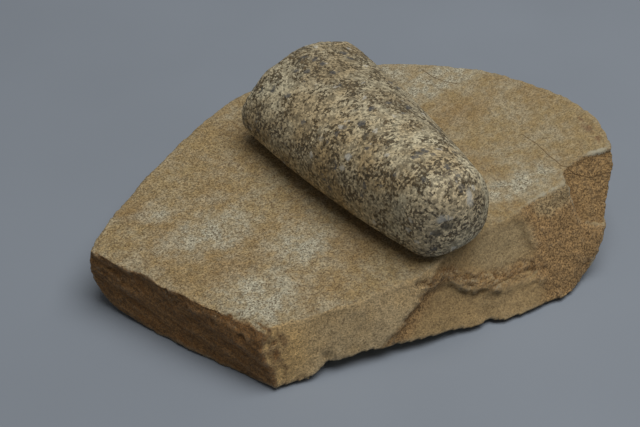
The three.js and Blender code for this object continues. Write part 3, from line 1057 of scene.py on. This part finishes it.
def feldspar(tree, place, nose, crystals, specks):
    """Cream feldspar, crystal by crystal, with smoky quartz between, and the right side darkened as
    painted shade.
    """
    smoky = blotches(tree, place, size=10.0, cover=0.4, softness=0.05)
    colour = tint(tree, rusty_side(tree, place), CREAM, SANDY)
    colour = tint(tree, nose, colour, NOSE_CREAM, strength=0.85)
    colour = darkened(tree, colour, ramp(tree, crystals, 0.0, 1.0, bottom=0.42, top=1.18))
    colour = darkened(tree, colour, ramp(tree, specks, 0.0, 1.0, bottom=0.84, top=1.1))
    colour = tint(tree, smoky, colour, GREY_BROWN, strength=0.6)
    # Painted shade: the right side is darkened grey-brown, to tone down the light that falls on it.
    return tint(tree, measured(tree, "right_side"), colour, GREY_BROWN, strength=0.32)


print("the worn near end is centred at", WORN_NOSE[0][0], "mm")

# %% [markdown]
# Mica is a noise cut off at a limit, which leaves crisp dark flecks. Where the limit is higher the
# flecks crowd together, as they do in cloudy areas of the real stone. On the right side they are drawn
# out into streaks along the stone: there the noise is stretched with a Mapping node, turned to lie as
# the stone does.

# %% Mica of the granite
MICA_LIMIT = (0.37, 0.517)
MICA_EDGE = (-0.003, 0.006)
STREAK_LENGTH = 5
STREAK_EDGE = (0.43, 0.39)
NOSE_CLEARER = 0.012


def mica_streaks(tree, place):
    """Dark streaks along the right side of the stone."""
    run = {"Vector": place, "Rotation": (0, 0, STONE_TURN), "Scale": (1, STREAK_LENGTH, 1)}
    run = add(tree, "Mapping", run, vector_type="TEXTURE").outputs[0]
    streaks = ramp(tree, noise(tree, run, size=2.6, detail=4.0, roughness=0.65), *STREAK_EDGE)
    return maths(tree, "MULTIPLY", streaks, measured(tree, "right_side"))


def mica_flecks(tree, place, nose):
    """Where the mica is: flecks that crowd together in places, and the streaks."""
    flecks = noise(tree, place, size=2.7, detail=3.0, roughness=0.6)
    crowded = blotches(tree, place, size=13.0, cover=0.5, softness=0.09)
    fewest, most = MICA_LIMIT
    limit = ramp(tree, crowded, 0.0, 1.0, bottom=fewest, top=most)
    limit = maths(tree, "SUBTRACT", limit, maths(tree, "MULTIPLY", nose, NOSE_CLEARER))
    mica = ramp(tree, maths(tree, "SUBTRACT", limit, flecks), *MICA_EDGE)
    return maths(tree, "MAXIMUM", mica, mica_streaks(tree, place))


print("mica streaks run", round(math.degrees(STONE_TURN)), "degrees from the quern's short side")

# %% [markdown]
# A few crystals stand out one by one: bluish dark ones and white ones. They are the cells of a Voronoi
# texture whose random number is above a limit, with their places shaken so that they aren't round. The
# ones that catch the eye on the real stone are given one by one.

# %% Single crystals of the granite
BLUISH = (0.075, 0.082, 0.095)
GREY_MICA = (0.09, 0.08, 0.06)
WHITE = (0.80, 0.79, 0.72)
WHITE_SPOTS = [
    ((-16, -35, 120), (3.5, 3.5, 3.5)),
    ((10, -131, 111), (5, 4, 4)),
    ((36, -130, 122), (3, 8, 9)),
]
DARK_SPOTS = [((2, -32, 133), (3, 3, 3)), ((15, -132, 103), (6, 5, 4)), ((8, -130, 97), (5, 5, 4))]


def crystals_of(tree, place, size, limit):
    """Rare single crystals: cells whose random number is above a limit, with soft edges."""
    moved = shaken(tree, place, scale=2 / (size * MM), reach=size * MM, detail=3.0)
    cells = add(tree, "TexVoronoi", {"Vector": moved, "Scale": 1 / (size * MM)})
    random = add(tree, "SeparateColor", {"Color": cells.outputs["Color"]}).outputs[1]
    chosen = ramp(tree, random, limit, limit + 0.02)
    return maths(tree, "MULTIPLY", chosen, ramp(tree, cells.outputs["Distance"], 0.45, 0.25))


def single_crystals(tree, place, nose, colour):
    """Dark and white crystals over a colour, the dark ones fainter on the worn near end."""
    dark = crystals_of(tree, place, size=9, limit=0.85)
    dark = maths(tree, "MULTIPLY", dark, ramp(tree, nose, 0, 1, bottom=0.75, top=0.2))
    colour = tint(tree, dark, colour, BLUISH)
    colour = tint(tree, crystals_of(tree, place, size=7, limit=0.93), colour, WHITE, strength=0.5)
    colour = tint(tree, spots(tree, place, WHITE_SPOTS, ragged=2.5), colour, WHITE, strength=0.7)
    return tint(tree, spots(tree, place, DARK_SPOTS, ragged=2.5), colour, GREY_MICA, strength=0.85)


print("crystals placed by hand:", len(WHITE_SPOTS + DARK_SPOTS))

# %% [markdown]
# The whole granite: the pale ground, the mica over it, the single crystals, and wear. Mica is smoother
# than feldspar and lies a little lower, so it also drives the roughness and the bump.

# %% Granite
MICA = (0.050, 0.039, 0.021)
BROWN_MICA = (0.135, 0.092, 0.042)


def granite():
    material, tree, surface, place = new_material("granite")
    crystals = grouped(tree, GRAINS, place, Size_mm=1.9)
    specks = grouped(tree, GRAINS, place, Size_mm=1.1)["Grain"]
    wear_and_shade = grouped(tree, WEAR_AND_SHADE, place, Size_mm=3.0)
    nose = spots(tree, place, WORN_NOSE, ragged=6.0)
    mica = mica_flecks(tree, place, nose)
    kind = tint(tree, ramp(tree, specks, 0.45, 0.7), MICA, BROWN_MICA)
    colour = feldspar(tree, place, nose, crystals["Grain"], specks)
    colour = tint(tree, mica, colour, kind, strength=0.9)
    colour = single_crystals(tree, place, nose, colour)
    colour = tint(tree, wear_and_shade["Rubbed"], colour, WHITE, strength=0.35)
    # Painted shade: the pits and hollows of the granite are darkened.
    colour = tint(tree, wear_and_shade["Hollow shade"], colour, PIT, strength=0.7)
    tree.links.new(colour, surface.inputs["Base Color"])

    tree.links.new(ramp(tree, mica, 0, 1, bottom=0.8, top=0.55), surface.inputs["Roughness"])
    height = maths(tree, "SUBTRACT", crystals["Height"], maths(tree, "MULTIPLY", mica, 0.4))
    bump = add(tree, "Bump", {"Height": height, "Strength": 0.6, "Distance": 0.6 * MM})
    tree.links.new(bump.outputs["Normal"], surface.inputs["Normal"])
    return material


rubber.data.materials.append(granite())
print("granite has", len(rubber.data.materials[0].node_tree.nodes), "nodes")

# %% [markdown]
# The two stones take the places of their CAD solids. The rubbing stone only rests on the quern, so both
# belong to the one body that the frame has.

# %% Tie the stones to the frame
for piece, node, finish in ((slab, "quern_slab", "sandstone"), (rubber, "rubbing_stone", "granite")):
    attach(piece, "root")
    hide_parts(node)
    print(piece.name, "stands for", node)

# %% [markdown]
# The stage is a wide painted floor and nothing else. It lies a hair below the quern, so the two never
# share a plane, and its colour varies a little, as paint does.

# %% Floor
FLOOR_SIZE = 6.0
FLOOR_COLOUR = (0.295, 0.345, 0.425)
FLOOR_GAP = 0.2 * MM
FLOOR_ROUGHNESS = 0.7


def floor_paint():
    material, tree, surface, place = new_material("painted board")
    tone = ramp(tree, noise(tree, place, size=300, detail=3.0), 0.3, 0.7, bottom=0.97, top=1.03)
    tree.links.new(darkened(tree, FLOOR_COLOUR, tone), surface.inputs["Base Color"])
    surface.inputs["Roughness"].default_value = FLOOR_ROUGHNESS
    return material


def wide_floor():
    mesh = bpy.data.meshes.new("floor")
    half = FLOOR_SIZE / 2
    corners = [(-half, -half, 0), (half, -half, 0), (half, half, 0), (-half, half, 0)]
    mesh.from_pydata(corners, [], [(0, 1, 2, 3)])
    mesh.materials.append(floor_paint())
    floor = bpy.data.objects.new("floor", mesh)
    floor.location.z = cad_box[0][2] - FLOOR_GAP
    bpy.context.collection.objects.link(floor)
    return floor


print("floor at", round(wide_floor().location.z / MM, 2), "mm")

# %% [markdown]
# One large soft light hangs above the stones, a little to the right and in front, as a ceiling lamp
# would. A dim warm room fills the shadows only slightly, so the left break stays in shade, as it does in
# the photograph. A hard lamp would draw the grains better, but its shadows would be too sharp.

# %% Light
LAMP_PLACE = (0.62, -0.35, 3.0)
LAMP_AIM = (0, 0, 0.06)
LAMP_SIZE = 2.5
LAMP_WATTS = 67
LAMP_COLOUR = (1.0, 0.965, 0.90)
ROOM_COLOUR = (1.0, 0.94, 0.88, 1)
ROOM_STRENGTH = 0.09


def soft_lamp():
    """A square area light that looks at the stones."""
    light = bpy.data.lights.new("ceiling", "AREA")
    light.size = LAMP_SIZE
    light.energy = LAMP_WATTS
    light.color = LAMP_COLOUR
    lamp = bpy.data.objects.new("ceiling", light)
    lamp.location = LAMP_PLACE
    toward = np.array(LAMP_AIM) - np.array(LAMP_PLACE)
    lamp.rotation_mode = "QUATERNION"
    lamp.rotation_quaternion = Vector(toward).to_track_quat("-Z", "Y")
    bpy.context.collection.objects.link(lamp)
    return lamp


def dim_room():
    world = bpy.data.worlds.new("dim room")
    world.use_nodes = True
    background = world.node_tree.nodes["Background"]
    background.inputs["Color"].default_value = ROOM_COLOUR
    background.inputs["Strength"].default_value = ROOM_STRENGTH
    bpy.context.scene.world = world


dim_room()
bpy.context.scene.view_settings.view_transform = "Standard"
print("lamp", soft_lamp().name, "of", LAMP_WATTS, "watts")

# %% [markdown]
# The camera stands where the photographer stood: 40 degrees above the horizon and 31 degrees to the left
# of the quern's front, with a lens of 75 mm.

# %% Camera
ELEVATION = math.radians(40)
AZIMUTH = math.radians(-31)
DISTANCE = 1.150
LOOK_AT = np.array([-0.0233, -0.0033, 0.040])
LENS = 75
SENSOR_WIDTH = 36


def photo_camera():
    data = bpy.data.cameras.new("camera")
    data.lens = LENS
    data.sensor_width = SENSOR_WIDTH
    camera = bpy.data.objects.new("camera", data)
    back = np.array(
        [
            math.sin(AZIMUTH) * math.cos(ELEVATION),
            -math.cos(AZIMUTH) * math.cos(ELEVATION),
            math.sin(ELEVATION),
        ]
    )
    camera.location = LOOK_AT + back * DISTANCE
    camera.rotation_mode = "QUATERNION"
    camera.rotation_quaternion = Vector(-back).to_track_quat("-Z", "Y")
    bpy.context.collection.objects.link(camera)
    bpy.context.scene.camera = camera
    return camera


print("camera at", [round(value, 3) for value in photo_camera().location])
